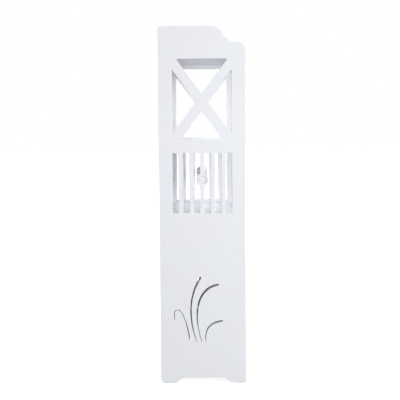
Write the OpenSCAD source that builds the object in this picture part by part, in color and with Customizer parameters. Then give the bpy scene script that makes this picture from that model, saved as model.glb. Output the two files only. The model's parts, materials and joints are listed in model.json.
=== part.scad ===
// Narrow bathroom cabinet for spare toilet rolls, cut from thin white foam board.
// Origin: middle of the footprint, on the floor. +Z is up, the door faces -Y, and the width runs along X.
// "Depth" values are measured forwards from the back edge of the side panels.

/* [Boards] */
// Overall width, over the two side panels
cabinet_w = 150; // [130:1:220]
// Overall depth of the side panels
side_d = 192; // [180:1:240]
// Thickness of the panels, shelves, rails and door
board_t = 9; // [8:0.5:12]
// Thickness of the back panel
back_t = 5; // [4:0.5:8]
// Thickness of the loose shelf in the cupboard
inner_shelf_t = 5; // [4:0.5:9]
// Distance of the shelf fronts and the door behind the side panels' front edges
front_inset = 1; // [0.5:0.5:3]

/* [Heights] */
// Thickness of the stick-on foot pads
pad_t = 1.5; // [1:0.5:4]
// Clear height under the bottom board
kick_clear = 28.5; // [24:0.5:60]
// Clear height of the cupboard behind the door
cupboard_h = 332; // [280:1:420]
// Clear height of the bay that holds the roll on its spindle
roll_bay_h = 149; // [140:1:200]
// Clear height of the open bay behind the crossed side windows
cross_bay_h = 199; // [160:1:260]
// Height of the side panels above the top board, at the back
tray_back_h = 54; // [50:1:80]
// Height of the side panels above the top board, at the front
tray_front_h = 18; // [17:1:30]
// Height of the loose shelf's underside above the bottom board
inner_shelf_up = 128; // [60:1:220]

/* [Side panel outline] */
// Depth at which the top edge starts to sweep down
sweep_start = 114; // [90:1:118]
// Length of the S-shaped sweep, along the depth
sweep_run = 58; // [45:1:62]
// Radius of the top back corner
top_back_r = 7; // [3:1:15]
// Radius of the top front corner
top_front_r = 15; // [5:1:16]
// Radius of the bottom back corner
foot_back_r = 8; // [2:1:15]
// Length of the back foot on the floor
foot_back_len = 35; // [25:1:50]
// Length of the front foot on the floor
foot_front_len = 32; // [25:1:50]
// Height of the arch between the feet
arch_h = 13.5; // [8:0.5:18]
// Radius of the arch's shoulders
arch_r = 27; // [20:1:40]

/* [Side panel windows] */
// Board left between a window and the panel's front and back edges
window_margin = 30; // [22:1:40]
// Board left between the slatted window and the shelf below it
window_sill = 6; // [3:0.5:12]
// Board left between the crossed window and the shelf below it
cross_sill = 11; // [6:0.5:16]
// Board left between a window and the shelf above it
window_head = 9; // [5:0.5:15]
// Width of the two crossed arms
arm_w = 20.7; // [12:0.1:26]
// How far below its upper corner of the window an arm's middle line starts
arm_drop = 5; // [0:0.5:10]
// How far below its lower corner of the window an arm's middle line ends
arm_dip = 4; // [0:0.5:10]
// Slats on each side of the middle slat
slats_each_side = 2; // [1:1:3]
// Width of a slat
slat_w = 10; // [7:0.5:12]
// Radius that the cutter leaves in the window corners
cutter_r = 1.5; // [0.5:0.5:3]

/* [Cut grass] */
// Depth of the middle of the tuft's foot
tuft_depth = 85; // [78:1:98]
// Height of the tuft's foot above the floor
tuft_up = 94; // [75:1:120]
// Width of the broadest blade's tip
blade_w = 5.2; // [4:0.1:6]

/* [Roll spindle] */
// Height of the spindle above the floor of the roll bay
spindle_up = 80; // [70:1:100]
// Radius of the round pad on the middle slat
eye_pad_r = 14.5; // [12.5:0.5:18]
// Radius of the hole that holds the spindle's end
eye_r = 9; // [6:0.5:10]
// Radius of the outer sleeve
sleeve_r = 13; // [12:0.5:15]
// Wall of both sleeves
sleeve_wall = 1.6; // [1.2:0.1:2.4]
// Length of the outer sleeve, without its end boss
sleeve_len = 78; // [70:1:85]
// Length of the plunger inside the outer sleeve
plunger_overlap = 44; // [30:1:50]
// Length of each end boss inside its hole
boss_len = 8; // [6:0.5:8.5]
// Wire radius of the spring
spring_wire_r = 0.6; // [0.4:0.1:0.9]
// Turns of the spring
spring_turns = 7; // [5:1:9]

/* [Door] */
// Gap round the door
door_gap = 1.5; // [1.3:0.1:3]
// Radius of the finger hole
finger_r = 14; // [10:0.5:18]
// Height of the finger hole above the bottom board
finger_up = 232; // [150:1:260]
// Distance of the finger hole from the door's free edge
finger_in = 25; // [20:1:40]
// Radius of the pivot pins
pivot_r = 2; // [1.5:0.1:2.5]
// Length of a pivot pin inside the door
pivot_in_door = 14; // [8:1:25]
// Length of a pivot pin below or above the door
pivot_out = 7; // [5:0.5:8]
// Wall of the pivot bushes
bush_wall = 1.4; // [1:0.1:2]
// Thickness of the bushes' flanges
bush_flange_t = 1; // [0.6:0.1:1.2]

/* [Magnetic catch] */
// Length of the catch
catch_len = 44; // [38:1:60]
// Depth of the catch, front to back
catch_d = 14; // [12:0.5:20]
// Height of the catch
catch_h = 11; // [10:0.5:16]
// Distance of the catch's middle from the left side panel
catch_in = 40; // [30:1:60]

/* [Fixings] */
// Length of the two legs of a corner block
block_leg = 14; // [13:0.5:20]
// Width of a corner block
block_w = 11; // [9:0.5:16]
// Wall of a corner block
block_t = 3; // [2:0.5:4]
// Radius of the wood screws
screw_r = 1.5; // [1.2:0.1:1.8]
// Depth that the screws of the corner blocks and the catch go into a board
screw_bite = 6.5; // [4:0.5:7]
// Length of the screws that hold the rails
rail_screw_len = 20; // [16:1:24]
// Length of the screws that hold the back panel
back_screw_len = 16; // [12:1:24]
// Distance of the outer rail screws from the side panels
screw_side_in = 22; // [15:1:40]
// Radius of the shelf pins
pin_r = 2.5; // [2:0.25:3]
// Depth of the shelf pins in the side panels
pin_deep = 6; // [4:0.5:7]
// Length of the shelf pins under the shelf
pin_out = 8; // [6:0.5:12]

/* [Hidden] */
$fn = 64;

// Clearances
eps = 0.01;             // overshoot of a cut past the face it starts from
past = 1;               // how far a through cut runs out on each side
fit_gap = 0.05;         // radial, round a pin or screw in its own hole
running_gap = 0.08;     // radial, between pieces that turn or slide
face_gap = 0.3;         // between a moving piece and what it runs against
shelf_gap = 0.2;        // between the loose shelf and the panels beside it
end_gap = 0.5;          // past the end of a screw or a bush in its hole

// Heights of the faces, from the floor
panel_z = pad_t;
bottom_z = pad_t + kick_clear;
bottom_top = bottom_z + board_t;
roll_z = bottom_top + cupboard_h;
roll_top = roll_z + board_t;
middle_z = roll_top + roll_bay_h;
middle_top = middle_z + board_t;
tray_z = middle_top + cross_bay_h;
tray_top = tray_z + board_t;
back_top_z = tray_top + tray_back_h;
front_top_z = tray_top + tray_front_h;
inner_shelf_z = bottom_top + inner_shelf_up;

// Widths and depths
inner_w = cabinet_w - 2 * board_t;
side_x = inner_w / 2;
board_front = side_d - front_inset;

// Rails round the tray and under the front
tray_rail_h = 40;
tray_lip_h = 10;
tray_lip_front = side_d - 3;
tray_lip_screw_len = board_t + tray_lip_h - 2;
kick_front = side_d - 11;
kick_foot_w = 16;

// Top edge: two arcs of one radius, which meet halfway down the sweep
sweep_drop = tray_back_h - tray_front_h;
sweep_r = (sweep_run * sweep_run + sweep_drop * sweep_drop) / (4 * sweep_drop);

// Arch: how far a shoulder reaches from its foot to its crown
shoulder_run = sqrt(arch_r * arch_r - pow(arch_r - arch_h, 2));

// Windows
window_w = side_d - 2 * window_margin;
cross_z = middle_top + cross_sill;
cross_h = cross_bay_h - cross_sill - window_head;
slat_z = roll_top + window_sill;
slat_h = roll_bay_h - window_sill - window_head;
slat_count = 2 * slats_each_side + 1;
slat_gap = (window_w - slat_count * slat_w) / (slat_count + 1);

// Spindle
spindle_z = roll_top + spindle_up;
spindle_half = side_x - face_gap;
boss_r = eye_r - running_gap;
plunger_r = sleeve_r - sleeve_wall - running_gap;
plunger_len = 2 * spindle_half - sleeve_len + plunger_overlap;
spring_len = sleeve_len - sleeve_wall - plunger_overlap;
spring_r = plunger_r - 2.5 * spring_wire_r - end_gap;
spring_sides = 8;
spring_steps = 16;
boss_bevel = 1;
sleeve_bevel = 0.6;
plunger_bevel = 0.4;

// Door. The pivot runs up the middle of its rounded edge.
door_half_t = board_t / 2;
door_z = bottom_top + door_gap;
door_top = roll_z - door_gap;
door_left = -side_x + door_gap;
door_right_gap = 1;
pivot_x = side_x - door_right_gap - door_half_t;
pivot_depth = board_front - door_half_t;
door_back = board_front - board_t;
bush_in_r = pivot_r + fit_gap;
bush_r = bush_in_r + bush_wall;
bush_len = pivot_out + bush_flange_t;
flange_r = bush_r + 1.5;
pin_end_gap = 1;
pin_len = pivot_in_door + door_gap + pivot_out - pin_end_gap;

// Magnetic catch
catch_x = -side_x + catch_in;
strike_t = 1;
strike_w = 26;
strike_h = 10;
strike_hole_r = screw_r + 0.3;
pole_depth = door_back - strike_t - face_gap;
pole_out = 0.6;
catch_front = pole_depth - pole_out;
catch_block_w = catch_len - 16;
catch_ear_t = 3;
catch_screw_out = catch_block_w / 2 + 4;
catch_screw_depth = catch_front - catch_d / 2;
strike_z = roll_z - catch_h / 2 - door_gap / 2;
magnet_w = catch_block_w - 6;
magnet_t = 4;
magnet_z = strike_z - magnet_t / 2;
magnet_back = catch_front - catch_d + 4;
magnet_in = 0.5;
pole_t = 1;

// Screws
head_r = 2 * screw_r;
head_h = screw_r;
pan_h = 1.4 * screw_r;
screw_tip_r = 0.3;
screw_hole_len = screw_bite + end_gap;
slot_len = 1.2 * head_r;
slot_w = 0.8;
slot_deep = 1;
screw_x = side_x - screw_side_in;
screw_xs = [-screw_x, 0, screw_x];

// Corner blocks: two under each end of a fixed board, as [underside, depth of the block's middle]
block_clear = 1.5;
block_back = back_t + block_clear + block_w / 2;
block_open_front = board_front - 2 * block_clear - block_w / 2;
block_shut_front = kick_front - board_t - block_clear - block_w / 2;
block_seats = [
    for (seat = [[bottom_z, block_shut_front], [roll_z, block_shut_front],
                 [middle_z, block_open_front], [tray_z, block_open_front]])
        for (depth = [block_back, seat[1]]) [seat[0], depth]
];
block_screw_at = (block_leg + block_t) / 2 + 0.5;
block_rib_t = 1.2;
block_root = block_t - 1;

// Shelf pins
pin_depths = [back_t + 12, door_back - 20];
inner_shelf_front = door_back - 4;
pin_collar_r = pin_r + 1;
pin_collar_t = 1;

// Foot pads
pad_r = board_t / 2 - 1;
pad_len = 20;
pad_front_in = 6;

// Grass blades: chains of cubic curves, each point as [forwards, up] from the middle of the tuft's foot
blades = [
    [[-3.3, -0.4], [-20.4, 47.8], [-24.2, 102.2], [6.5, 148.6]],
    [[7.9, 0.5], [-15.3, 69.6], [0.9, 125.5], [47, 131]],
    [[-20, 4.9], [-21.5, 30.2], [-33.9, 71.7], [-43.4, 73.6], [-54.9, 75.9], [-54, 66], [-52.5, 50.5]],
    [[16.6, 0], [14.6, 29.2], [23.4, 45.2], [55.5, 48.8]]
];
// Each blade's width from foot to tip, as the four values of a cubic curve, in shares of blade_w
blade_shares = [[0.28, 0.62, 0.5, 1], [0.29, 0.2, 1.4, 0.92], [0.44, 0.37, 0.27, 0.23], [0.26, 0.3, 1, 0.8]];
blade_steps = 14;
blade_round = 0.03;

white = [0.93, 0.935, 0.94];
nylon = [0.88, 0.88, 0.86];
steel = [0.72, 0.73, 0.75];
dark = [0.22, 0.22, 0.23];

// ---- Helpers ----

// A flat shape drawn as [depth, height], cut through a board that starts at x and runs towards +X
module side_sheet(x, t) {
    translate([x, side_d / 2, 0]) rotate([90, 0, 90]) mirror([1, 0, 0]) linear_extrude(t) children();
}

// A box between two depths and two heights, and across the given x range
module block_between(x0, x1, d0, d1, z0, z1) {
    translate([x0, side_d / 2 - d1, z0]) cube([x1 - x0, d1 - d0, z1 - z0]);
}

// Places its children at a depth measured from the back edge
module at(x, depth, z) {
    translate([x, side_d / 2 - depth, z]) children();
}

// The waste outside a round corner of radius r at point p; dir points from the corner into the board
module corner_waste(p, r, dir) {
    translate(p) scale([dir[0], dir[1], 1]) difference() {
        translate([-past, -past]) square(r + past);
        translate([r, r]) circle(r);
    }
}

function unit(v) = v / norm(v);

// The corner b between a and c, rounded with radius r
function round_corner(a, b, c, r, steps = 4) =
    let (u = unit(a - b), v = unit(c - b), half = acos(u * v) / 2,
         mid = b + unit(u + v) * r / sin(half), p = b + u * r / tan(half), q = b + v * r / tan(half),
         turn = 180 - 2 * half, side = (p - mid)[0] * (q - mid)[1] - (p - mid)[1] * (q - mid)[0],
         start = atan2((p - mid)[1], (p - mid)[0]))
    [for (i = [0:steps]) mid + r * [cos(start + sign(side) * turn * i / steps),
                                    sin(start + sign(side) * turn * i / steps)]];

// A polygon with every corner rounded
function rounded(pts, r) =
    [for (i = [0:len(pts) - 1])
        each round_corner(pts[(i + len(pts) - 1) % len(pts)], pts[i], pts[(i + 1) % len(pts)], r)];

// A point on a chain of cubic curves, and the direction there; t runs from 0 to the number of curves
function curve_at(p, t) =
    let (k = min(floor(t), (len(p) - 1) / 3 - 1), s = t - k, a = p[3 * k], b = p[3 * k + 1],
         c = p[3 * k + 2], d = p[3 * k + 3])
    a * pow(1 - s, 3) + 3 * b * s * pow(1 - s, 2) + 3 * c * s * s * (1 - s) + d * pow(s, 3);
function curve_dir(p, t) =
    let (k = min(floor(t), (len(p) - 1) / 3 - 1), s = t - k, a = p[3 * k], b = p[3 * k + 1],
         c = p[3 * k + 2], d = p[3 * k + 3])
    unit((b - a) * pow(1 - s, 2) + 2 * (c - b) * s * (1 - s) + (d - c) * s * s);

// Half the blade's width at the share f of its length, closing in a round at both ends
function blade_half(f, w) =
    blade_w / 2 * (w[0] * pow(1 - f, 3) + 3 * w[1] * f * pow(1 - f, 2) + 3 * w[2] * f * f * (1 - f) + w[3] * pow(f, 3))
    * min(1, sqrt(max(0, f / blade_round * (2 - f / blade_round))) + (f > blade_round ? 1 : 0))
    * min(1, sqrt(max(0, (1 - f) / blade_round * (2 - (1 - f) / blade_round))) + (1 - f > blade_round ? 1 : 0));

// The outline of one blade: out along one side, and back along the other
function blade_outline(p, w) =
    let (curves = (len(p) - 1) / 3, steps = blade_steps * curves,
         shares = concat([0.25 * blade_round], [0.6 * blade_round],
                         [for (i = [0:steps]) blade_round + (1 - 2 * blade_round) * i / steps],
                         [1 - 0.6 * blade_round], [1 - 0.25 * blade_round]),
         side = function(s) [for (f = shares) let (c = curve_at(p, f * curves), d = curve_dir(p, f * curves))
             c + s * blade_half(f, w) * [-d[1], d[0]]],
         left = side(1), right = side(-1))
    concat([p[0]], left, [p[len(p) - 1]], [for (i = [len(right) - 1:-1:0]) right[i]]);

// A wood screw pointing up, with its sunk head's face at the origin
module sunk_screw(length) {
    difference() {
        union() {
            cylinder(h = head_h, r1 = head_r, r2 = screw_r);
            screw_shank(length);
        }
        cross_slot(0);
    }
}

// The hole for a sunk screw
module sunk_hole(length) {
    translate([0, 0, -eps]) cylinder(h = head_h + eps, r1 = head_r + fit_gap, r2 = screw_r + fit_gap);
    cylinder(h = length + eps, r = screw_r + fit_gap);
}

// A wood screw pointing up, with a pan head below the origin
module pan_screw(length) {
    difference() {
        union() {
            translate([0, 0, -pan_h]) cylinder(h = pan_h, r1 = 0.8 * head_r, r2 = 0.95 * head_r);
            screw_shank(length);
        }
        cross_slot(-pan_h);
    }
}

// A plain shank with a pointed end
module screw_shank(length) {
    cylinder(h = length - screw_r, r = screw_r);
    translate([0, 0, length - screw_r]) cylinder(h = screw_r, r1 = screw_r, r2 = screw_tip_r);
}

module screw_hole(length) {
    translate([0, 0, -eps]) cylinder(h = length + eps, r = screw_r + fit_gap);
}

module cross_slot(z) {
    for (turn = [0, 90])
        rotate([0, 0, turn])
            translate([-slot_len / 2, -slot_w / 2, z - eps]) cube([slot_len, slot_w, slot_deep + eps]);
}

// ---- Side panels ----

// The top edge between the high back and the low front, with an overlap into the panel below it
module sweep_top() {
    mid = sweep_start + sweep_run / 2;
    // the crown, falling away from the high back
    intersection() {
        translate([sweep_start, back_top_z - sweep_r]) circle(sweep_r);
        translate([sweep_start, front_top_z - past]) square([sweep_run / 2, sweep_drop + past]);
    }
    // the hollow, running out into the low front
    difference() {
        translate([mid, front_top_z - past]) square([sweep_run / 2, sweep_drop / 2 + past]);
        translate([sweep_start + sweep_run, front_top_z + sweep_r]) circle(sweep_r);
    }
}

module side_outline() {
    difference() {
        union() {
            translate([0, panel_z]) square([side_d, front_top_z - panel_z]);
            translate([0, front_top_z - past]) square([sweep_start + eps, sweep_drop + past]);
            sweep_top();
        }
        corner_waste([0, back_top_z], top_back_r, [1, -1]);
        corner_waste([side_d, front_top_z], top_front_r, [-1, -1]);
        corner_waste([0, panel_z], foot_back_r, [1, 1]);
        arch();
    }
}

// The arch between the feet: a flat crown with a round shoulder at each end
module arch() {
    back_mid = foot_back_len + shoulder_run;
    front_mid = side_d - foot_front_len - shoulder_run;
    translate([back_mid, -past]) square([front_mid - back_mid, arch_h + past]);
    for (depth = [back_mid, front_mid]) translate([depth, arch_h - arch_r]) circle(arch_r);
}

// The four triangles that leave the two crossed arms
module cross_cut() {
    top = cross_h - arm_drop;
    slant = atan2(window_w, top + arm_dip);
    mid = (top - arm_dip) / 2;
    edge_d = arm_w / 2 / cos(slant);
    edge_z = arm_w / 2 / sin(slant);
    top_d = edge_d - arm_drop * tan(slant);
    foot_d = edge_d + arm_dip * tan(slant);
    w = window_w;
    translate([window_margin, cross_z]) {
        polygon(rounded([[top_d, cross_h], [w - top_d, cross_h], [w / 2, mid + edge_z]], cutter_r));
        polygon(rounded([[foot_d, 0], [w - foot_d, 0], [w / 2, mid - edge_z]], cutter_r));
        for (side = [0, w])
            polygon(rounded([[side, edge_z - arm_dip], [side, top - edge_z],
                [w / 2 + sign(side - w / 2) * edge_d, mid]], cutter_r));
    }
}

// The gaps between upright slats, with the round pad of the spindle left standing
module slat_cut() {
    difference() {
        for (i = [0:slat_count])
            translate([window_margin + i * (slat_gap + slat_w), slat_z])
                polygon(rounded([[0, 0], [slat_gap, 0], [slat_gap, slat_h], [0, slat_h]], cutter_r));
        translate([side_d / 2, spindle_z]) circle(eye_pad_r);
    }
}

module grass_cut() {
    translate([tuft_depth, tuft_up])
        for (i = [0:len(blades) - 1]) polygon(blade_outline(blades[i], blade_shares[i]));
}

// The left panel, with its inner face at -side_x. The right one is its mirror image.
module side_panel() {
    difference() {
        side_sheet(-side_x - board_t, board_t) difference() {
            side_outline();
            cross_cut();
            slat_cut();
            grass_cut();
        }
        at(-side_x - board_t - past, side_d / 2, spindle_z)
            rotate([0, 90, 0]) cylinder(h = board_t + 2 * past, r = eye_r);
        for (depth = pin_depths)
            at(-side_x - pin_deep, depth, inner_shelf_z - pin_r)
                rotate([0, 90, 0]) cylinder(h = pin_deep + past, r = pin_r + fit_gap);
        for (seat = block_seats)
            at(-side_x, seat[1], seat[0] - block_screw_at) rotate([0, -90, 0]) screw_hole(screw_hole_len);
    }
}

module left_side_panel() {
    color(white) side_panel();
}

module right_side_panel() {
    color(white) mirror([1, 0, 0]) side_panel();
}

// ---- Boards between the side panels ----

// The pilot holes that the corner blocks' screws need in a board's underside
module block_holes(z, depths) {
    for (side = [-1, 1], depth = depths)
        at(side * (side_x - block_screw_at), depth, z) screw_hole(screw_hole_len);
}

module top_board() {
    color(white) difference() {
        block_between(-side_x, side_x, 0, board_front, tray_z, tray_top);
        block_holes(tray_z, [block_back, block_open_front]);
        for (x = screw_xs, depth = [board_t / 2, tray_lip_front - board_t / 2])
            at(x, depth, tray_z) sunk_hole(board_t);
    }
}

module top_back_rail() {
    color(white) difference() {
        block_between(-side_x, side_x, 0, board_t, tray_top, tray_top + tray_rail_h);
        for (x = screw_xs) at(x, board_t / 2, tray_z) sunk_hole(rail_screw_len);
    }
}

module top_front_rail() {
    color(white) difference() {
        block_between(-side_x, side_x, tray_lip_front - board_t, tray_lip_front, tray_top, tray_top + tray_lip_h);
        for (x = screw_xs)
            at(x, tray_lip_front - board_t / 2, tray_z) sunk_hole(tray_lip_screw_len + end_gap);
    }
}

module middle_shelf() {
    color(white) difference() {
        block_between(-side_x, side_x, back_t, board_front, middle_z, middle_top);
        block_holes(middle_z, [block_back, block_open_front]);
        back_screw_holes(middle_z);
    }
}

module roll_floor() {
    color(white) difference() {
        block_between(-side_x, side_x, back_t, board_front, roll_z, roll_top);
        block_holes(roll_z, [block_back, block_shut_front]);
        back_screw_holes(roll_z);
        at(pivot_x, pivot_depth, roll_z - past) cylinder(h = pivot_out + end_gap + past, r = bush_r + fit_gap);
        for (side = [-1, 1])
            at(catch_x + side * catch_screw_out, catch_screw_depth, roll_z) screw_hole(screw_bite);
    }
}

module bottom_board() {
    color(white) difference() {
        block_between(-side_x, side_x, back_t, board_front, bottom_z, bottom_top);
        block_holes(bottom_z, [block_back, block_shut_front]);
        back_screw_holes(bottom_z);
        at(pivot_x, pivot_depth, bottom_top - pivot_out - end_gap)
            cylinder(h = pivot_out + end_gap + past, r = bush_r + fit_gap);
        for (x = screw_xs) at(x, kick_front - board_t / 2, bottom_top) mirror([0, 0, 1]) sunk_hole(rail_screw_len);
    }
}

// The front rail under the bottom board, arched between two feet like the side panels
module kick_rail() {
    mid_x = side_x - kick_foot_w - shoulder_run;
    color(white) difference() {
        block_between(-side_x, side_x, kick_front - board_t, kick_front, panel_z, bottom_z);
        block_between(-mid_x, mid_x, kick_front - board_t - past, kick_front + past, panel_z - past, arch_h);
        for (x = [-mid_x, mid_x])
            at(x, kick_front + past, arch_h - arch_r)
                rotate([-90, 0, 0]) cylinder(h = board_t + 2 * past, r = arch_r);
        for (x = screw_xs) at(x, kick_front - board_t / 2, bottom_top) mirror([0, 0, 1]) sunk_hole(rail_screw_len);
    }
}

module back_screw_holes(z) {
    for (x = screw_xs)
        at(x, 0, z + board_t / 2) rotate([90, 0, 0]) sunk_hole(back_screw_len);
}

module back_panel() {
    color(white) difference() {
        block_between(-side_x, side_x, 0, back_t, arch_h, middle_top);
        for (z = [bottom_z, roll_z, middle_z]) back_screw_holes(z);
    }
}

module inner_shelf() {
    color(white)
        block_between(-side_x + shelf_gap, side_x - shelf_gap, back_t + shelf_gap, inner_shelf_front,
                      inner_shelf_z, inner_shelf_z + inner_shelf_t);
}

// ---- Fixings of the cabinet ----

module shelf_pins() {
    color(nylon) for (side = [0, 1], depth = pin_depths)
        mirror([side, 0, 0]) at(-side_x - pin_deep, depth, inner_shelf_z - pin_r) rotate([0, 90, 0]) {
            cylinder(h = pin_deep + pin_out, r = pin_r);
            translate([0, 0, pin_deep]) difference() {
                cylinder(h = pin_collar_t, r = pin_collar_r);
                // the collar is flat on top, where the shelf lies
                translate([-pin_collar_r - pin_r, -pin_collar_r, -past])
                    cube([pin_collar_r, 2 * pin_collar_r, pin_collar_t + 2 * past]);
            }
        }
}

// One angle block, with its corner at the origin and its legs along +X and -Z
module corner_block() {
    difference() {
        union() {
            translate([0, -block_w / 2, -block_t]) cube([block_leg, block_w, block_t]);
            translate([0, -block_w / 2, -block_leg]) cube([block_t, block_w, block_leg]);
            for (y = [-block_w / 2 + block_rib_t, block_w / 2])
                translate([0, y, 0]) rotate([90, 0, 0]) linear_extrude(block_rib_t)
                    polygon([[block_root, -block_root], [block_leg, -block_root], [block_leg, -block_t],
                             [block_t, -block_leg], [block_root, -block_leg]]);
        }
        translate([block_screw_at, 0, -block_t]) screw_hole(block_t + past);
        translate([block_t, 0, -block_screw_at]) rotate([0, -90, 0]) screw_hole(block_t + past);
    }
}

module corner_blocks() {
    color(nylon) for (side = [0, 1], seat = block_seats)
        mirror([side, 0, 0]) at(-side_x, seat[1], seat[0]) corner_block();
}

module corner_block_screws() {
    color(steel) for (side = [0, 1], seat = block_seats)
        mirror([side, 0, 0]) at(-side_x, seat[1], seat[0]) {
            translate([block_screw_at, 0, -block_t]) pan_screw(block_t + screw_bite);
            translate([block_t, 0, -block_screw_at]) rotate([0, -90, 0]) pan_screw(block_t + screw_bite);
        }
}

module rail_screws() {
    color(steel) for (x = screw_xs) {
        at(x, board_t / 2, tray_z) sunk_screw(rail_screw_len);
        at(x, tray_lip_front - board_t / 2, tray_z) sunk_screw(tray_lip_screw_len);
        at(x, kick_front - board_t / 2, bottom_top) mirror([0, 0, 1]) sunk_screw(rail_screw_len);
    }
}

module back_panel_screws() {
    color(steel) for (x = screw_xs, z = [bottom_z, roll_z, middle_z])
        at(x, 0, z + board_t / 2) rotate([90, 0, 0]) sunk_screw(back_screw_len);
}

// Four stick-on pads, round at both ends
module foot_pads() {
    color(nylon) for (side = [-1, 1], depth = [foot_back_r + pad_len / 2, side_d - pad_front_in - pad_len / 2])
        at(side * (side_x + board_t / 2), depth, 0) {
            for (end = [-1, 1]) translate([0, end * (pad_len / 2 - pad_r), 0]) cylinder(h = pad_t, r = pad_r);
            translate([-pad_r, -pad_len / 2 + pad_r, 0]) cube([2 * pad_r, pad_len - 2 * pad_r, pad_t]);
        }
}

// ---- Door, on two pins that turn in flanged bushes ----

module pivot_bush() {
    difference() {
        union() {
            cylinder(h = bush_len, r = bush_r);
            translate([0, 0, pivot_out]) cylinder(h = bush_flange_t, r = flange_r);
        }
        translate([0, 0, -past]) cylinder(h = bush_len + 2 * past, r = bush_in_r);
    }
}

module lower_pivot_bush() {
    color(nylon) at(pivot_x, pivot_depth, bottom_top - pivot_out) pivot_bush();
}

module upper_pivot_bush() {
    color(nylon) at(pivot_x, pivot_depth, roll_z + pivot_out) mirror([0, 0, 1]) pivot_bush();
}

module lower_pivot_pin() {
    color(steel) at(pivot_x, pivot_depth, bottom_top - pivot_out + pin_end_gap) cylinder(h = pin_len, r = pivot_r);
}

module upper_pivot_pin() {
    color(steel) at(pivot_x, pivot_depth, door_top - pivot_in_door) cylinder(h = pin_len, r = pivot_r);
}

module door_panel() {
    finger_x = door_left + finger_in;
    color(white) difference() {
        union() {
            block_between(door_left, pivot_x, door_back, board_front, door_z, door_top);
            at(pivot_x, pivot_depth, door_z) cylinder(h = door_top - door_z, r = door_half_t);
        }
        at(finger_x, board_front + past, bottom_top + finger_up)
            rotate([-90, 0, 0]) cylinder(h = board_t + 2 * past, r = finger_r);
        at(pivot_x, pivot_depth, door_z - past) cylinder(h = pivot_in_door + past, r = pivot_r + fit_gap);
        at(pivot_x, pivot_depth, door_top - pivot_in_door)
            cylinder(h = pivot_in_door + past, r = pivot_r + fit_gap);
        at(catch_x, door_back, strike_z) rotate([90, 0, 0]) screw_hole(screw_bite);
    }
}

// ---- Magnetic catch under the roll floor, and its plate on the door ----

module catch_housing() {
    color(nylon) difference() {
        union() {
            block_between(catch_x - catch_block_w / 2, catch_x + catch_block_w / 2,
                          catch_front - catch_d, catch_front, roll_z - catch_h, roll_z);
            block_between(catch_x - catch_len / 2, catch_x + catch_len / 2,
                          catch_front - catch_d, catch_front, roll_z - catch_ear_t, roll_z);
        }
        // the pocket that holds the magnet and its two pole plates
        block_between(catch_x - magnet_w / 2 - fit_gap, catch_x + magnet_w / 2 + fit_gap,
                      magnet_back, catch_front + past,
                      magnet_z - pole_t - fit_gap, magnet_z + magnet_t + pole_t + fit_gap);
        for (side = [-1, 1])
            at(catch_x + side * catch_screw_out, catch_screw_depth, roll_z - catch_ear_t)
                screw_hole(catch_ear_t + past);
    }
}

module catch_magnet() {
    color(dark) block_between(catch_x - magnet_w / 2, catch_x + magnet_w / 2,
                              magnet_back, catch_front - magnet_in, magnet_z, magnet_z + magnet_t);
}

module catch_pole_plates() {
    color(steel) for (z = [magnet_z - pole_t, magnet_z + magnet_t])
        block_between(catch_x - magnet_w / 2, catch_x + magnet_w / 2, magnet_back, pole_depth, z, z + pole_t);
}

module catch_screws() {
    color(steel) for (side = [-1, 1])
        at(catch_x + side * catch_screw_out, catch_screw_depth, roll_z - catch_ear_t)
            pan_screw(catch_ear_t + screw_bite - end_gap);
}

module strike_plate() {
    color(steel) difference() {
        block_between(catch_x - strike_w / 2, catch_x + strike_w / 2, door_back - strike_t, door_back,
                      strike_z - strike_h / 2, strike_z + strike_h / 2);
        at(catch_x, door_back - strike_t - eps, strike_z) rotate([90, 0, 0])
            cylinder(h = strike_t + 2 * eps, r1 = head_r + fit_gap, r2 = strike_hole_r + fit_gap);
    }
}

module strike_screw() {
    color(steel) at(catch_x, door_back - strike_t, strike_z) rotate([90, 0, 0]) difference() {
        union() {
            cylinder(h = strike_t, r1 = head_r, r2 = strike_hole_r);
            screw_shank(strike_t + screw_bite - end_gap);
        }
        cross_slot(0);
    }
}

// ---- Roll spindle: a sprung plunger in a sleeve, held in the eyes of the middle slats ----

module along_spindle(x) {
    at(x, side_d / 2, spindle_z) rotate([0, 90, 0]) children();
}

module spindle_sleeve() {
    color(white) along_spindle(-spindle_half) rotate_extrude()
        polygon([[0, -boss_len], [boss_r - boss_bevel, -boss_len], [boss_r, -boss_len + boss_bevel], [boss_r, 0],
                 [sleeve_r - sleeve_bevel, 0], [sleeve_r, sleeve_bevel], [sleeve_r, sleeve_len - sleeve_bevel],
                 [sleeve_r - sleeve_bevel, sleeve_len], [sleeve_r - sleeve_wall, sleeve_len],
                 [sleeve_r - sleeve_wall, sleeve_wall], [0, sleeve_wall]]);
}

module spindle_plunger() {
    hollow_r = plunger_r - sleeve_wall;
    color(white) along_spindle(spindle_half) mirror([0, 0, 1]) rotate_extrude()
        polygon([[0, -boss_len], [boss_r - boss_bevel, -boss_len], [boss_r, -boss_len + boss_bevel], [boss_r, 0],
                 [plunger_r - plunger_bevel, 0], [plunger_r, plunger_bevel], [plunger_r, plunger_len],
                 [0, plunger_len], [0, plunger_len - sleeve_wall], [hollow_r, plunger_len - sleeve_wall],
                 [hollow_r, sleeve_wall], [0, sleeve_wall]]);
}

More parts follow.
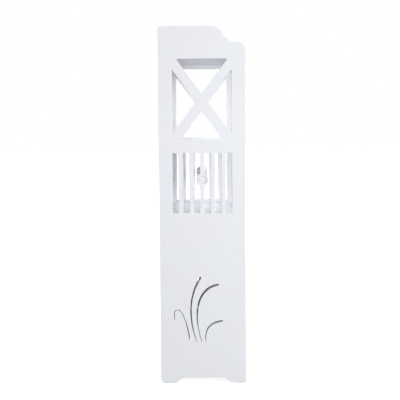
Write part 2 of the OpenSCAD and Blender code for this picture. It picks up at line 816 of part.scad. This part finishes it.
// The spring as one swept wire between the sleeve's closed end and the plunger
module spindle_spring() {
    rise = spring_len - 2 * spring_wire_r - 2 * face_gap;
    rings = spring_turns * spring_steps;
    pitch_turn = atan2(rise, 2 * PI * spring_r * spring_turns);
    points = [
        for (i = [0:rings], j = [0:spring_sides - 1])
            let (turn = 360 * spring_turns * i / rings, side = 360 * j / spring_sides,
                 out = spring_r + spring_wire_r * cos(side), lift = spring_wire_r * sin(side))
            [out * cos(turn) + lift * sin(pitch_turn) * sin(turn),
             out * sin(turn) - lift * sin(pitch_turn) * cos(turn),
             rise * i / rings + lift * cos(pitch_turn)]
    ];
    walls = [
        for (i = [0:rings - 1], j = [0:spring_sides - 1])
            let (k = (j + 1) % spring_sides)
            [i * spring_sides + j, (i + 1) * spring_sides + j, (i + 1) * spring_sides + k, i * spring_sides + k]
    ];
    ends = [[for (j = [0:spring_sides - 1]) j], [for (j = [spring_sides - 1:-1:0]) rings * spring_sides + j]];
    color(steel) along_spindle(-spindle_half + sleeve_wall + face_gap + spring_wire_r)
        polyhedron(points, concat(walls, ends));
}

left_side_panel();
right_side_panel();
top_board();
top_back_rail();
top_front_rail();
middle_shelf();
roll_floor();
bottom_board();
kick_rail();
back_panel();
inner_shelf();
shelf_pins();
corner_blocks();
corner_block_screws();
rail_screws();
back_panel_screws();
foot_pads();
lower_pivot_bush();
upper_pivot_bush();
catch_housing();
catch_magnet();
catch_pole_plates();
catch_screws();
door_panel();
lower_pivot_pin();
upper_pivot_pin();
strike_plate();
strike_screw();
spindle_sleeve();
spindle_plunger();
spindle_spring();
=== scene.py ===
# %% [markdown]
# # A narrow toilet roll cabinet in white foam board
#
# This lesson dresses a finished CAD model of a bathroom cabinet. The CAD part gives every board, screw and
# joint its place. Blender adds what a camera sees: softened edges, moulded fillets, the real spring,
# materials, light and a camera. Each step says what the real thing is first, and then how it is made here.

import json
from math import radians

import bmesh
import bpy
import numpy as np
from mathutils import Euler, Matrix, Vector

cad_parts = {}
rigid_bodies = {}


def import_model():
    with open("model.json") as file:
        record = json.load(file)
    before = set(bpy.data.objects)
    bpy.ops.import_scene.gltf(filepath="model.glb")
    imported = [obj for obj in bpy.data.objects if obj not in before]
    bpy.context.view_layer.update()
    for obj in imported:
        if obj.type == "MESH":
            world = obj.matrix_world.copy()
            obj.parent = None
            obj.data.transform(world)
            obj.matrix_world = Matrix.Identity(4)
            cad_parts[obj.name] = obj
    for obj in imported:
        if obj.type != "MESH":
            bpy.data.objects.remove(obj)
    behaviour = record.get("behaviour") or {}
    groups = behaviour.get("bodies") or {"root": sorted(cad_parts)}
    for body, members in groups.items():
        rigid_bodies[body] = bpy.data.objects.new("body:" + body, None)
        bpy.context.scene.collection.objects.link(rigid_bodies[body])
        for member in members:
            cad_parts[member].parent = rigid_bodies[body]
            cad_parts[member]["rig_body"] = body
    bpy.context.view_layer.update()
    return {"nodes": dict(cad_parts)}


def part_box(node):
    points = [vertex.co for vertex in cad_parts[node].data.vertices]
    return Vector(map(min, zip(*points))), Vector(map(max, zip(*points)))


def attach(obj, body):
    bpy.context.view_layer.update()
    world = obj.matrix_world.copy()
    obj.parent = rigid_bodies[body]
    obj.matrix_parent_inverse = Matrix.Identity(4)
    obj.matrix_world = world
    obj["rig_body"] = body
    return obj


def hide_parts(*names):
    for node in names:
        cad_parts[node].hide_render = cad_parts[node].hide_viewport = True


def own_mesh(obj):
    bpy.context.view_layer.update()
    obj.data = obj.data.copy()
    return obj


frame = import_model()
nodes = frame["nodes"]

# %% [markdown]
# ## Small helpers
#
# A colour picked on a screen is an sRGB value, and Blender's shaders work with linear light, so one function
# turns a hex colour into linear numbers. Materials are node trees, and one function adds a node with its
# settings and links, so that each material below reads as a short list of what feeds what.
#
# Some nodes give several sockets the same name, so a socket can also be picked by its place. A Mix node's
# factor is socket 0. Its two numbers are sockets 2 and 3, with the result at output 0, and its two colours
# are sockets 6 and 7, with the result at output 2.

# %% Colours and shader nodes
MM = 0.001


def linear(hex_colour):
    """Linear RGBA of an sRGB hex colour: c / 12.92 up to 0.04045, and ((c + 0.055) / 1.055) ** 2.4 above."""
    c = np.array([int(hex_colour[i : i + 2], 16) for i in (1, 3, 5)]) / 255
    rgb = np.where(c <= 0.04045, c / 12.92, ((c + 0.055) / 1.055) ** 2.4)
    return (*rgb.tolist(), 1.0)


def add(tree, kind, settings=None, **inputs):
    """Adds a shader node. settings are its properties, and inputs are socket values, or outputs to link from.
    An input's name has _ for each space, and in0, in1 and so on pick a socket by its place."""
    node = tree.nodes.new(kind)
    for key, value in (settings or {}).items():
        setattr(node, key, value)
    for key, value in inputs.items():
        by_place = key[:2] == "in" and key[2:].isdigit()
        socket = node.inputs[int(key[2:]) if by_place else key.replace("_", " ")]
        if isinstance(value, bpy.types.NodeSocket):
            tree.links.new(value, socket)
        else:
            socket.default_value = value
    return node


def new_material(name):
    """An empty node material and its tree."""
    material = bpy.data.materials.new(name)
    material.use_nodes = True
    material.node_tree.nodes.clear()
    return material, material.node_tree


def ramp(tree, value, low, high, a=0.0, b=1.0):
    """Maps value from the range low..high to the range a..b, and holds it there."""
    return add(
        tree, "ShaderNodeMapRange", dict(clamp=True),
        Value=value, From_Min=low, From_Max=high, To_Min=a, To_Max=b,
    ).outputs[0]


def blend(tree, share, colour_a, colour_b):
    """colour_a where share is 0, and colour_b where it is 1."""
    return add(
        tree, "ShaderNodeMix", dict(data_type="RGBA"), in0=share, in6=colour_a, in7=colour_b,
    ).outputs[2]


print("the board's white, #F1F0F6, in linear light:", [round(v, 3) for v in linear("#F1F0F6")])

# %% [markdown]
# ## Foam board
#
# The boards are rigid PVC foam board, made by extruding a foaming plastic between cooled rollers. The rollers
# leave a closed, satin skin with a very slight waviness, and the skin's tone drifts a little over a hand's
# width. A router then cuts the outline, and there the skin is gone: the cut edge is matt and shows the fine
# cells of the foam.
#
# To the eye, the skin gives a soft, broad sheen on a blueish white, and the cut edge a dry, greyer white.
# The two are told apart by the surface's own direction: on a side panel the skin faces along X, on a shelf
# along Z, and on the door and the rails along Y. So one function makes the material for any of the three.

# %% Foam board: rolled skin and routed edge
TONE_DRIFT = 90 * MM
SHEEN_DRIFT = 35 * MM
ROLLER_WAVE = 4 * MM
# foam cells are 0.1 to 0.3 mm wide, drawn at 0.8 mm so that they show in a picture of the whole cabinet
FOAM_CELL = 0.8 * MM
SKIN_ROUGH_LOW, SKIN_ROUGH_HIGH, CUT_ROUGH = 0.44, 0.54, 0.75
# a surface counts as cut where it faces less than CUT_BELOW along the skin's axis
CUT_BELOW, SKIN_ABOVE = 0.62, 0.78


def foam_board(name, across):
    """Rolled foam board. across is the axis that its skin faces: 0, 1 or 2 for X, Y or Z."""
    material, tree = new_material(name)
    place = add(tree, "ShaderNodeTexCoord").outputs
    here = place["Object"]
    facing = add(tree, "ShaderNodeSeparateXYZ", Vector=place["Normal"]).outputs[across]
    # 1 on the skin, whichever way it faces, and 0 on a cut edge that is square to it
    skin_share = add(tree, "ShaderNodeMath", dict(operation="ABSOLUTE"), in0=facing).outputs[0]
    edge = ramp(tree, skin_share, CUT_BELOW, SKIN_ABOVE, 1.0, 0.0)

    drift = add(tree, "ShaderNodeTexNoise", Vector=here, Scale=1 / TONE_DRIFT, Detail=2.0, Roughness=0.45)
    skin_tone = ramp(tree, drift.outputs["Fac"], 0.35, 0.65)
    skin = blend(tree, skin_tone, linear("#F1F0F6"), linear("#EEF2F6"))
    cells = add(tree, "ShaderNodeTexVoronoi", dict(feature="F1"), Vector=here, Scale=1 / FOAM_CELL)
    cells = cells.outputs["Distance"]
    cut = blend(tree, ramp(tree, cells, 0.1, 0.7), linear("#E6E6E9"), linear("#F3F3F5"))

    # the roller's wave is too shallow to see except in the sheen
    wave = add(tree, "ShaderNodeTexNoise", Vector=here, Scale=1 / ROLLER_WAVE, Detail=3.0, Roughness=0.6)
    height = add(
        tree, "ShaderNodeMix", dict(data_type="FLOAT"), in0=edge, in2=wave.outputs["Fac"], in3=cells,
    ).outputs[0]
    bump = add(tree, "ShaderNodeBump", Strength=0.25, Distance=0.08 * MM, Height=height)

    sheen = add(tree, "ShaderNodeTexNoise", Vector=here, Scale=1 / SHEEN_DRIFT, Detail=4.0, Roughness=0.55)
    skin_rough = ramp(tree, sheen.outputs["Fac"], 0.3, 0.7, SKIN_ROUGH_LOW, SKIN_ROUGH_HIGH)
    rough = add(
        tree, "ShaderNodeMix", dict(data_type="FLOAT"), in0=edge, in2=skin_rough, in3=CUT_ROUGH,
    ).outputs[0]
    shader = add(
        tree, "ShaderNodeBsdfPrincipled",
        Base_Color=blend(tree, edge, skin, cut), Roughness=rough, IOR=1.46, Normal=bump.outputs[0],
    )
    add(tree, "ShaderNodeOutputMaterial", Surface=shader.outputs[0])
    return material


board_x = foam_board("rolled_pvc_foam_board_side", 0)
board_y = foam_board("rolled_pvc_foam_board_front", 1)
board_z = foam_board("rolled_pvc_foam_board_shelf", 2)
print("foam board materials:", board_x.name, board_y.name, board_z.name)

# %% [markdown]
# ## Nylon, styrene and ferrite
#
# The corner blocks, bushes, shelf pins, foot pads and the catch's housing are injection-moulded nylon:
# slightly creamy, with a spark-eroded mould texture that dulls the highlights, and a little translucent, so
# that its shadows look soft. The roll spindle is moulded styrene from a smoother mould, which gives it a
# brighter, tighter sheen than the boards have. The catch's magnet is ferrite, a powder that is pressed in a
# mould and fired like a ceramic: dark grey and dry, with no light inside it.
#
# The three differ only in colour, sheen, grain and depth, so one function serves them.

# %% Moulded materials
FLOW_DRIFT = 12 * MM
SCATTER_RADII = (1.2 * MM, 1.1 * MM, 1.0 * MM)


def moulded(name, colour_a, colour_b, roughness, grain_mm, depth_mm, scatter):
    """Two close tones that drift, a grain from the mould, and scatter for the light inside."""
    material, tree = new_material(name)
    here = add(tree, "ShaderNodeTexCoord").outputs["Object"]
    flow = add(tree, "ShaderNodeTexNoise", Vector=here, Scale=1 / FLOW_DRIFT, Detail=2.0).outputs["Fac"]
    colour = blend(tree, ramp(tree, flow, 0.3, 0.7), linear(colour_a), linear(colour_b))
    rough = ramp(tree, flow, 0.3, 0.7, roughness - 0.04, roughness + 0.04)
    grain = add(tree, "ShaderNodeTexNoise", Vector=here, Scale=1 / (grain_mm * MM), Detail=2.0)
    bump = add(tree, "ShaderNodeBump", Strength=0.3, Distance=depth_mm * MM, Height=grain.outputs["Fac"])
    shader = add(
        tree, "ShaderNodeBsdfPrincipled",
        Base_Color=colour, Roughness=rough, IOR=1.53, Normal=bump.outputs[0],
        Subsurface_Weight=scatter, Subsurface_Radius=SCATTER_RADII, Subsurface_Scale=1.0,
    )
    add(tree, "ShaderNodeOutputMaterial", Surface=shader.outputs[0])
    return material


nylon = moulded("moulded_nylon", "#E6E5DF", "#DEDDD6", 0.48, 0.6, 0.05, 0.15)
styrene = moulded("glossy_moulded_styrene", "#EEEEEE", "#E9EAEB", 0.34, 1.5, 0.01, 0.05)
ferrite = moulded("sintered_ferrite", "#2B2B2D", "#343436", 0.62, 0.5, 0.03, 0.0)
print("moulded materials:", nylon.name, styrene.name, ferrite.name)

# %% [markdown]
# ## Zinc-plated steel and spring wire
#
# Screws, pivot pins and plates are steel with a bright zinc plating, whose passivation lets its tint drift
# between a cool blue and a pale straw. The spring is bare drawn wire, a darker and plainer grey. The marks
# that plating and drawing leave are far finer than a pixel. They are drawn at 0.3 to 0.4 mm, so that they
# still break up a highlight.

# %% Metals
TINT_DRIFT = 5 * MM


def metal(name, colour_a, colour_b, roughness, grain_mm):
    """A metal whose tone drifts between two tints, with fine marks that spread its highlights."""
    material, tree = new_material(name)
    here = add(tree, "ShaderNodeTexCoord").outputs["Object"]
    tint = add(tree, "ShaderNodeTexNoise", Vector=here, Scale=1 / TINT_DRIFT, Detail=2.0).outputs["Fac"]
    colour = blend(tree, ramp(tree, tint, 0.35, 0.65), linear(colour_a), linear(colour_b))
    marks = add(tree, "ShaderNodeTexNoise", Vector=here, Scale=1 / (grain_mm * MM), Detail=3.0).outputs["Fac"]
    bump = add(tree, "ShaderNodeBump", Strength=0.2, Distance=0.02 * MM, Height=marks)
    rough = ramp(tree, marks, 0.3, 0.7, roughness - 0.06, roughness + 0.06)
    shader = add(
        tree, "ShaderNodeBsdfPrincipled",
        Base_Color=colour, Metallic=1.0, Roughness=rough, Normal=bump.outputs[0],
    )
    add(tree, "ShaderNodeOutputMaterial", Surface=shader.outputs[0])
    return material


zinc = metal("bright_zinc_plated_steel", "#C9CED6", "#D2D0C4", 0.3, 0.4)
wire = metal("drawn_spring_wire", "#A9ABAE", "#9C9EA3", 0.35, 0.3)
print("metals:", zinc.name, wire.name)

# %% [markdown]
# ## Boards with softened edges
#
# A CAD board has perfectly sharp edges. A real one has its arrises eased with a scraper, by about half a
# millimetre, and those thin rounded lines are what make a white board readable against white: they catch the
# light. One way is a Bevel modifier on a cleaned copy of the CAD mesh. The CAD mesh is loose triangles, so
# the copy's doubles are merged and its flat faces are joined first. Only edges that turn by more than 35
# degrees are eased. The rim of a drilled hole stays sharp, and it is told by its length, because a small
# hole's rim is made of very short edges.
#
# A rounded edge blends its shading into the flat face beside it, which would make a board look swollen. The
# Weighted Normal modifier gives the large flat face the last word, so the skin shades flat right up to the
# rounding.

# %% A cleaned, eased copy of a CAD node
CAD_WELD = 1e-6
FLAT_TURN = radians(0.8)
EASED_TURN = radians(35)
HOLE_EDGE = 0.5 * MM


def eased(node, name, width_mm, material, keep_sharp=None):
    """Replaces a CAD node by its own merged mesh with rounded arrises. An edge is left sharp where
    keep_sharp, given its middle, says so."""
    mesh = nodes[node].data.copy()
    mesh.name = name
    bm = bmesh.new()
    bm.from_mesh(mesh)
    bmesh.ops.remove_doubles(bm, verts=bm.verts, dist=CAD_WELD)
    bmesh.ops.dissolve_limit(bm, angle_limit=FLAT_TURN, verts=bm.verts, edges=bm.edges)
    weight = bm.edges.layers.float.new("bevel_weight_edge")
    eased_edges = 0
    for edge in bm.edges:
        if len(edge.link_faces) != 2 or edge.calc_face_angle() < EASED_TURN:
            continue
        middle = (edge.verts[0].co + edge.verts[1].co) / 2
        if edge.calc_length() < HOLE_EDGE or (keep_sharp and keep_sharp(middle)):
            edge.smooth = False
        else:
            edge[weight] = 1.0
            eased_edges += 1
    for face in bm.faces:
        face.smooth = True
    bm.to_mesh(mesh)
    bm.free()
    mesh.materials.clear()
    mesh.materials.append(material)
    piece = bpy.data.objects.new(name, mesh)
    bpy.context.scene.collection.objects.link(piece)
    bevel = piece.modifiers.new("arris", "BEVEL")
    bevel.limit_method = "WEIGHT"
    bevel.width = width_mm * MM
    bevel.segments = 2
    bevel.use_clamp_overlap = False
    flat = piece.modifiers.new("flat_faces_stay_flat", "WEIGHTED_NORMAL")
    flat.keep_sharp = True
    body = nodes[node]["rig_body"]
    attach(piece, body)
    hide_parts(node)
    print(f"{name}: {len(mesh.polygons)} faces, {eased_edges} eased edges, on {body}")
    return piece


# %% [markdown]
# ## The two side panels
#
# Each panel is one board: the swept top, the arch, the crossed window, the slatted window with its eye, and
# the cut grass. The grass is cut with a fine cutter and its slits are narrower than the easing, so its edges
# stay sharp.

# %% Side panels
GRASS_FRONT, GRASS_BACK = -0.06, 0.07
GRASS_LOW, GRASS_HIGH = 0.09, 0.246


def in_grass(point):
    """True within the depth and height that the four cut blades take up."""
    return GRASS_LOW < point.z < GRASS_HIGH and GRASS_FRONT < point.y < GRASS_BACK


for side in ("left", "right"):
    eased(side + "_side_panel", side + "_panel_board", 0.5, board_x, in_grass)

# %% [markdown]
# ## Shelves, rails, back and door
#
# These are plain boards, so the same easing serves them all. The door is handled most, and it is eased as far
# as the side panels are.

# %% Shelves, rails, back and door
FLAT_BOARDS = {
    "top_board": board_z, "middle_shelf": board_z, "roll_floor": board_z, "bottom_board": board_z,
    "inner_shelf": board_z, "top_back_rail": board_y, "top_front_rail": board_y, "kick_rail": board_y,
    "back_panel": board_y, "door_panel": board_y,
}
for node, material in FLAT_BOARDS.items():
    eased(node, node + "_eased", 0.5 if node == "door_panel" else 0.4, material)

# %% [markdown]
# ## Surfaces from rings
#
# The spindle's sleeves and its spring are surfaces of two parameters. One runs along the shape and the other
# round it, so the points lie in rings, and a belt of quads joins each ring to the next.

# %% Rings into a closed mesh
RING_WELD = 1e-7
SHARP_TURN = radians(40)


def belts(rows, sides):
    """Quads (i, j), (i, j + 1), (i + 1, j + 1), (i + 1, j) between neighbouring rings. Point (i, j) has the
    number i * sides + j, and the last side meets the first."""
    i, j = np.meshgrid(np.arange(rows - 1), np.arange(sides), indexing="ij")
    here, beside = i * sides + j, i * sides + (j + 1) % sides
    return np.stack([here, beside, beside + sides, here + sides], -1).reshape(-1, 4).tolist()


def solid_mesh(name, points, faces, material):
    """A closed mesh: doubles at the poles are merged, and the normals are made to face out."""
    mesh = bpy.data.meshes.new(name)
    mesh.from_pydata(points.tolist(), [], faces)
    bm = bmesh.new()
    bm.from_mesh(mesh)
    bmesh.ops.remove_doubles(bm, verts=bm.verts, dist=RING_WELD)
    bmesh.ops.dissolve_degenerate(bm, edges=bm.edges, dist=RING_WELD)
    bmesh.ops.recalc_face_normals(bm, faces=bm.faces)
    for face in bm.faces:
        face.smooth = True
    bm.to_mesh(mesh)
    bm.free()
    mesh.set_sharp_from_angle(angle=SHARP_TURN)
    mesh.materials.append(material)
    piece = bpy.data.objects.new(name, mesh)
    bpy.context.scene.collection.objects.link(piece)
    print(f"{name}: {len(mesh.polygons)} faces")
    return piece


print("three rings of four sides need", len(belts(3, 4)), "quads")

# %% [markdown]
# ## The roll spindle
#
# The spindle is two moulded sleeves, one sliding in the other, with a spring between them. A moulded part has
# no sharp corner, so its profile is drawn with small fillets and then turned about its axis.

# %% A turned surface
def filleted(corners, radii, steps=5):
    """The (radius, x) profile with an arc in place of each corner. With r the arc's radius and h half the
    corner's angle, it starts and ends r / tan h from the corner, and its centre is r / sin h from it."""
    corners = np.array(corners, float)
    out = [corners[:1]]
    for before, corner, after, r in zip(corners[:-2], corners[1:-1], corners[2:], radii):
        u = (before - corner) / np.linalg.norm(before - corner)
        v = (after - corner) / np.linalg.norm(after - corner)
        half = np.arccos(np.clip(u @ v, -1, 1)) / 2
        centre = corner + (u + v) / np.linalg.norm(u + v) * r / np.sin(half)
        start, end = corner + u * r / np.tan(half) - centre, corner + v * r / np.tan(half) - centre
        share = np.linspace(0, 1, steps)[:, None]
        arc = start * (1 - share) + end * share
        out.append(centre + arc / np.linalg.norm(arc, axis=1, keepdims=True) * r)
    out.append(corners[-1:])
    return np.vstack(out)


def turned(name, profile, axis_y, axis_z, material, sides=72):
    """Turns (radius, x) points about the line through axis_y and axis_z along X:
    point(i, j) = (x_i, axis_y + r_i cos t_j, axis_z + r_i sin t_j). The ends close on the axis."""
    t = np.linspace(0, 2 * np.pi, sides, endpoint=False)
    r, x = profile[:, :1], profile[:, 1:]
    points = np.stack([np.repeat(x, sides, 1), axis_y + r * np.cos(t), axis_z + r * np.sin(t)], axis=-1)
    return solid_mesh(name, points.reshape(-1, 3), belts(len(profile), sides), material)


print("a square corner with a fillet of 1:", filleted([(0, 0), (4, 0), (4, 4)], [1.0]).round(2).tolist())

# %% Sleeve
sleeve_low, sleeve_high = (np.array(corner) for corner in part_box("spindle_sleeve"))
AXIS_Y, AXIS_Z = (sleeve_low + sleeve_high)[1:] / 2
SLEEVE_R = (sleeve_high - sleeve_low)[2] / 2
BOSS_R, BOSS_LEN, WALL = 8.92 * MM, 8 * MM, 1.6 * MM
closed_end, open_end = sleeve_low[0], sleeve_high[0]
shoulder = closed_end + BOSS_LEN
sleeve_profile = filleted(
    [
        (0, closed_end), (BOSS_R, closed_end), (BOSS_R, shoulder), (SLEEVE_R, shoulder), (SLEEVE_R, open_end),
        (SLEEVE_R - WALL, open_end), (SLEEVE_R - WALL, shoulder + WALL), (0, shoulder + WALL),
    ],
    [1.2 * MM, 0.3 * MM, 1.0 * MM, 0.6 * MM, 0.4 * MM, 1.0 * MM],
)
sleeve = turned("roll_spindle_sleeve", sleeve_profile, AXIS_Y, AXIS_Z, styrene)
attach(sleeve, "roll_spindle")
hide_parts("spindle_sleeve")

# %% Plunger
plunger_low, plunger_high = (np.array(corner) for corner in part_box("spindle_plunger"))
PLUNGER_R = (plunger_high - plunger_low)[2] / 2
inner_end, outer_end = plunger_low[0], plunger_high[0]
shoulder = outer_end - BOSS_LEN
plunger_profile = filleted(
    [
        (0, outer_end), (BOSS_R, outer_end), (BOSS_R, shoulder),
        (PLUNGER_R, shoulder), (PLUNGER_R, inner_end), (0, inner_end),
    ],
    [1.2 * MM, 0.3 * MM, 0.8 * MM, 0.5 * MM],
)
plunger = turned("roll_spindle_plunger", plunger_profile, AXIS_Y, AXIS_Z, styrene)
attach(plunger, "spindle_plunger")
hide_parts("spindle_plunger")

# %% [markdown]
# ## The spring
#
# A compression spring is one drawn wire on a helix. Its last turn at each end closes up against its
# neighbour, so that the spring stands flat. The wire is a circle carried along that helix: at each point
# one direction across the wire is straight out from the axis, and the other is square to it and to the wire.

# %% A round wire along a path
def round_wire(centre, outward, radius, sides):
    """Points and faces of a wire: point(i, j) = centre_i + radius (outward_i cos b_j + across_i sin b_j),
    where across is square to the path and to outward. A middle point closes each cut end."""
    along = np.gradient(centre, axis=0)
    along /= np.linalg.norm(along, axis=1, keepdims=True)
    across = np.cross(along, outward)
    b = np.linspace(0, 2 * np.pi, sides, endpoint=False)[None, :, None]
    tube = centre[:, None] + radius * (outward[:, None] * np.cos(b) + across[:, None] * np.sin(b))
    rows = len(centre)
    first_tip, last_tip, last_ring = rows * sides, rows * sides + 1, (rows - 1) * sides
    fans = [(first_tip, m, (m + 1) % sides) for m in range(sides)]
    fans += [(last_tip, last_ring + (m + 1) % sides, last_ring + m) for m in range(sides)]
    points = np.vstack([tube.reshape(-1, 3), centre[:1], centre[-1:]])
    return points, belts(rows, sides) + fans


# %% Spring
spring_low, spring_high = (np.array(corner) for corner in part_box("spindle_spring"))
WIRE_R = 0.6 * MM
COIL_R = (spring_high - spring_low)[2] / 2 - WIRE_R
TURNS, STEPS, SIDES = 9, 30, 10
turn = np.linspace(0, 1, TURNS * STEPS + 1) * TURNS
length = spring_high[0] - spring_low[0] - 2 * WIRE_R
# each closed end turn rises by just over one wire thickness, and the turns between share the rest
closed = 2.05 * WIRE_R
pitch = (length - 2 * closed) / (TURNS - 2)
rise = np.interp(turn, [0, 1, TURNS - 1, TURNS], [0, closed, length - closed, length])
angle = 2 * np.pi * turn
centre = np.stack(
    [spring_low[0] + WIRE_R + rise, AXIS_Y + COIL_R * np.cos(angle), AXIS_Z + COIL_R * np.sin(angle)], -1
)
outward = np.stack([np.zeros_like(angle), np.cos(angle), np.sin(angle)], -1)
spring = solid_mesh("spindle_coil_spring", *round_wire(centre, outward, WIRE_R, SIDES), wire)
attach(spring, "roll_spindle")
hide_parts("spindle_spring")
print(f"spring: {TURNS} turns, free pitch {pitch / MM:.1f} mm")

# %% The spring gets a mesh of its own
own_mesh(spring)

# %% [markdown]
# ## Small moulded and metal parts
#
# Screws, pins, plates and bushes already have their true shapes in the CAD model, so they keep them and get
# their real materials. The moulded blocks and the catch get a small mould radius, and the strike plate gets
# the smaller one of a pressed sheet.

# %% Materials for the small parts
SMALL_PARTS = {
    "shelf_pins": nylon, "lower_pivot_bush": nylon, "upper_pivot_bush": nylon,
    "corner_block_screws": zinc, "rail_screws": zinc, "back_panel_screws": zinc, "catch_screws": zinc,
    "strike_screw": zinc, "lower_pivot_pin": zinc, "upper_pivot_pin": zinc, "catch_pole_plates": zinc,
    "catch_magnet": ferrite,
}
for node, material in SMALL_PARTS.items():
    nodes[node].data.materials.clear()
    nodes[node].data.materials.append(material)
print(len(SMALL_PARTS), "small parts keep their CAD shapes")

# %% Rounded small parts
for node, material, width_mm in [
    ("corner_blocks", nylon, 0.3),
    ("catch_housing", nylon, 0.4),
    ("foot_pads", nylon, 0.3),
    ("strike_plate", zinc, 0.15),
]:
    eased(node, node + "_moulded", width_mm, material)

# %% [markdown]
# ## Camera
#
# The photograph looks square-on at the left side panel, from 0.79 m away and 0.59 m up. The camera tilts down
# by 1.6 degrees, and its lens is shifted, as the upright lines stay almost parallel. Those lines lean a
# little to one side in the photograph, so the camera also rolls by 0.4 degrees about its own line of sight.

# %% Camera
SENSOR_MM, LENS_MM, LENS_SHIFT = 36.0, 32.09, -0.1675
TILT_DOWN, TURN, ROLL = 1.61, 0.09, -0.395
camera_data = bpy.data.cameras.new("view_of_the_side")
camera_data.sensor_width = SENSOR_MM
camera_data.lens = LENS_MM
camera_data.shift_y = LENS_SHIFT
camera = bpy.data.objects.new("view_of_the_side", camera_data)
bpy.context.scene.collection.objects.link(camera)
# an unturned camera looks down: 90 degrees about X levels it, and -90 about Z points it along +X
aim = Euler((radians(90 - TILT_DOWN), 0, radians(-90 + TURN))).to_matrix()
aim = aim @ Matrix.Rotation(radians(ROLL), 3, "Z")
camera.location = (-0.8629, 0.0031, 0.5868)
camera.rotation_euler = aim.to_euler()
bpy.context.scene.camera = camera
print("camera at", tuple(round(v, 4) for v in camera.location), "looking along +X")

# %% [markdown]
# ## Floor and surround
#
# The photograph's object stands on pure white. Making that white with more light would bleach the cabinet, so
# the surround is white only for the camera's own rays and for those that a mirror or a glass sends on, by
# Light Path, and the light that falls on the cabinet stays at a level where a colour renders about as it is
# written.
#
# The floor has to be white and still keep a shadow. For the camera and for mirrors it is a steady white glow
# plus a little lit paint: in the open the two together reach white, and where the cabinet shades the paint,
# they don't. For all other rays it is a darker paint, because little light comes up from below in the
# photograph.

# %% Floor
GLOW, SHADE = 0.80, 0.50


def seen_by(tree, *kinds):
    """1 for the camera's own rays and for the named kinds of ray, and 0 for all others."""
    path = add(tree, "ShaderNodeLightPath").outputs
    seen = path["Is Camera Ray"]
    for kind in kinds:
        seen = add(tree, "ShaderNodeMath", dict(operation="MAXIMUM"), in0=seen, in1=path[kind]).outputs[0]
    return seen


bpy.ops.mesh.primitive_plane_add(size=16, location=(0, 0, 0))
floor = bpy.context.object
floor.name = "studio_floor"
floor_paint, tree = new_material("white_studio_floor")
seen = seen_by(tree, "Is Glossy Ray")
paint = add(tree, "ShaderNodeBsdfDiffuse", Color=linear("#626264"))
glow = add(tree, "ShaderNodeEmission", Color=(1, 1, 1, 1), Strength=GLOW)
lit_paint = add(tree, "ShaderNodeBsdfDiffuse", Color=(SHADE, SHADE, SHADE, 1))
for_camera = add(tree, "ShaderNodeAddShader", in0=glow.outputs[0], in1=lit_paint.outputs[0])
mixed = add(tree, "ShaderNodeMixShader", in0=seen, in1=paint.outputs[0], in2=for_camera.outputs[0])
add(tree, "ShaderNodeOutputMaterial", Surface=mixed.outputs[0])
floor.data.materials.append(floor_paint)
print("floor: glow", GLOW, "and lit paint", SHADE)

# %% Surround
SURROUND_LIGHT = 0.62
world = bpy.data.worlds.new("white_surround")
world.use_nodes = True
tree = world.node_tree
tree.nodes.clear()
seen = seen_by(tree, "Is Glossy Ray", "Is Transmission Ray")
strength = ramp(tree, seen, 0.0, 1.0, SURROUND_LIGHT, 1.0)
sky = add(tree, "ShaderNodeBackground", Color=(1, 1, 1, 1), Strength=strength)
add(tree, "ShaderNodeOutputWorld", Surface=sky.outputs[0])
bpy.context.scene.world = world
print("surround: 1.0 to the camera, and", SURROUND_LIGHT, "as light")

# %% [markdown]
# ## Lamps
#
# Large square lamps give soft edges to every shadow. The low one on the camera's side lights the panel
# square-on, and reaches in through the windows to the underside of the top board. The key comes from the
# front and lights the door and the cut edges that face forwards. The two high ones light the right side and
# the back, which the photograph doesn't show.

# %% Lamps
MIDDLE = (0, 0, 0.45)


def soft_box(name, place, aim, size, watts):
    """A square area lamp at place, turned so that its face looks at aim."""
    lamp = bpy.data.lights.new(name, "AREA")
    lamp.shape = "SQUARE"
    lamp.size = size
    lamp.energy = watts
    holder = bpy.data.objects.new(name, lamp)
    bpy.context.scene.collection.objects.link(holder)
    holder.location = place
    holder.rotation_euler = (Vector(aim) - Vector(place)).to_track_quat("-Z", "Y").to_euler()
    return holder


soft_box("side_soft_box", (-2.7, 0, 0.4), (0, 0, 0.4), 0.76, 15)
soft_box("key_soft_box", (-1.4, -2.2, 1.0), MIDDLE, 1.6, 45)
soft_box("far_side_soft_box", (2.6, -0.6, 1.8), MIDDLE, 1.6, 37)
soft_box("back_soft_box", (0.8, 2.5, 1.9), MIDDLE, 1.6, 44)

# %% Finish
bpy.context.scene.view_settings.view_transform = "Standard"
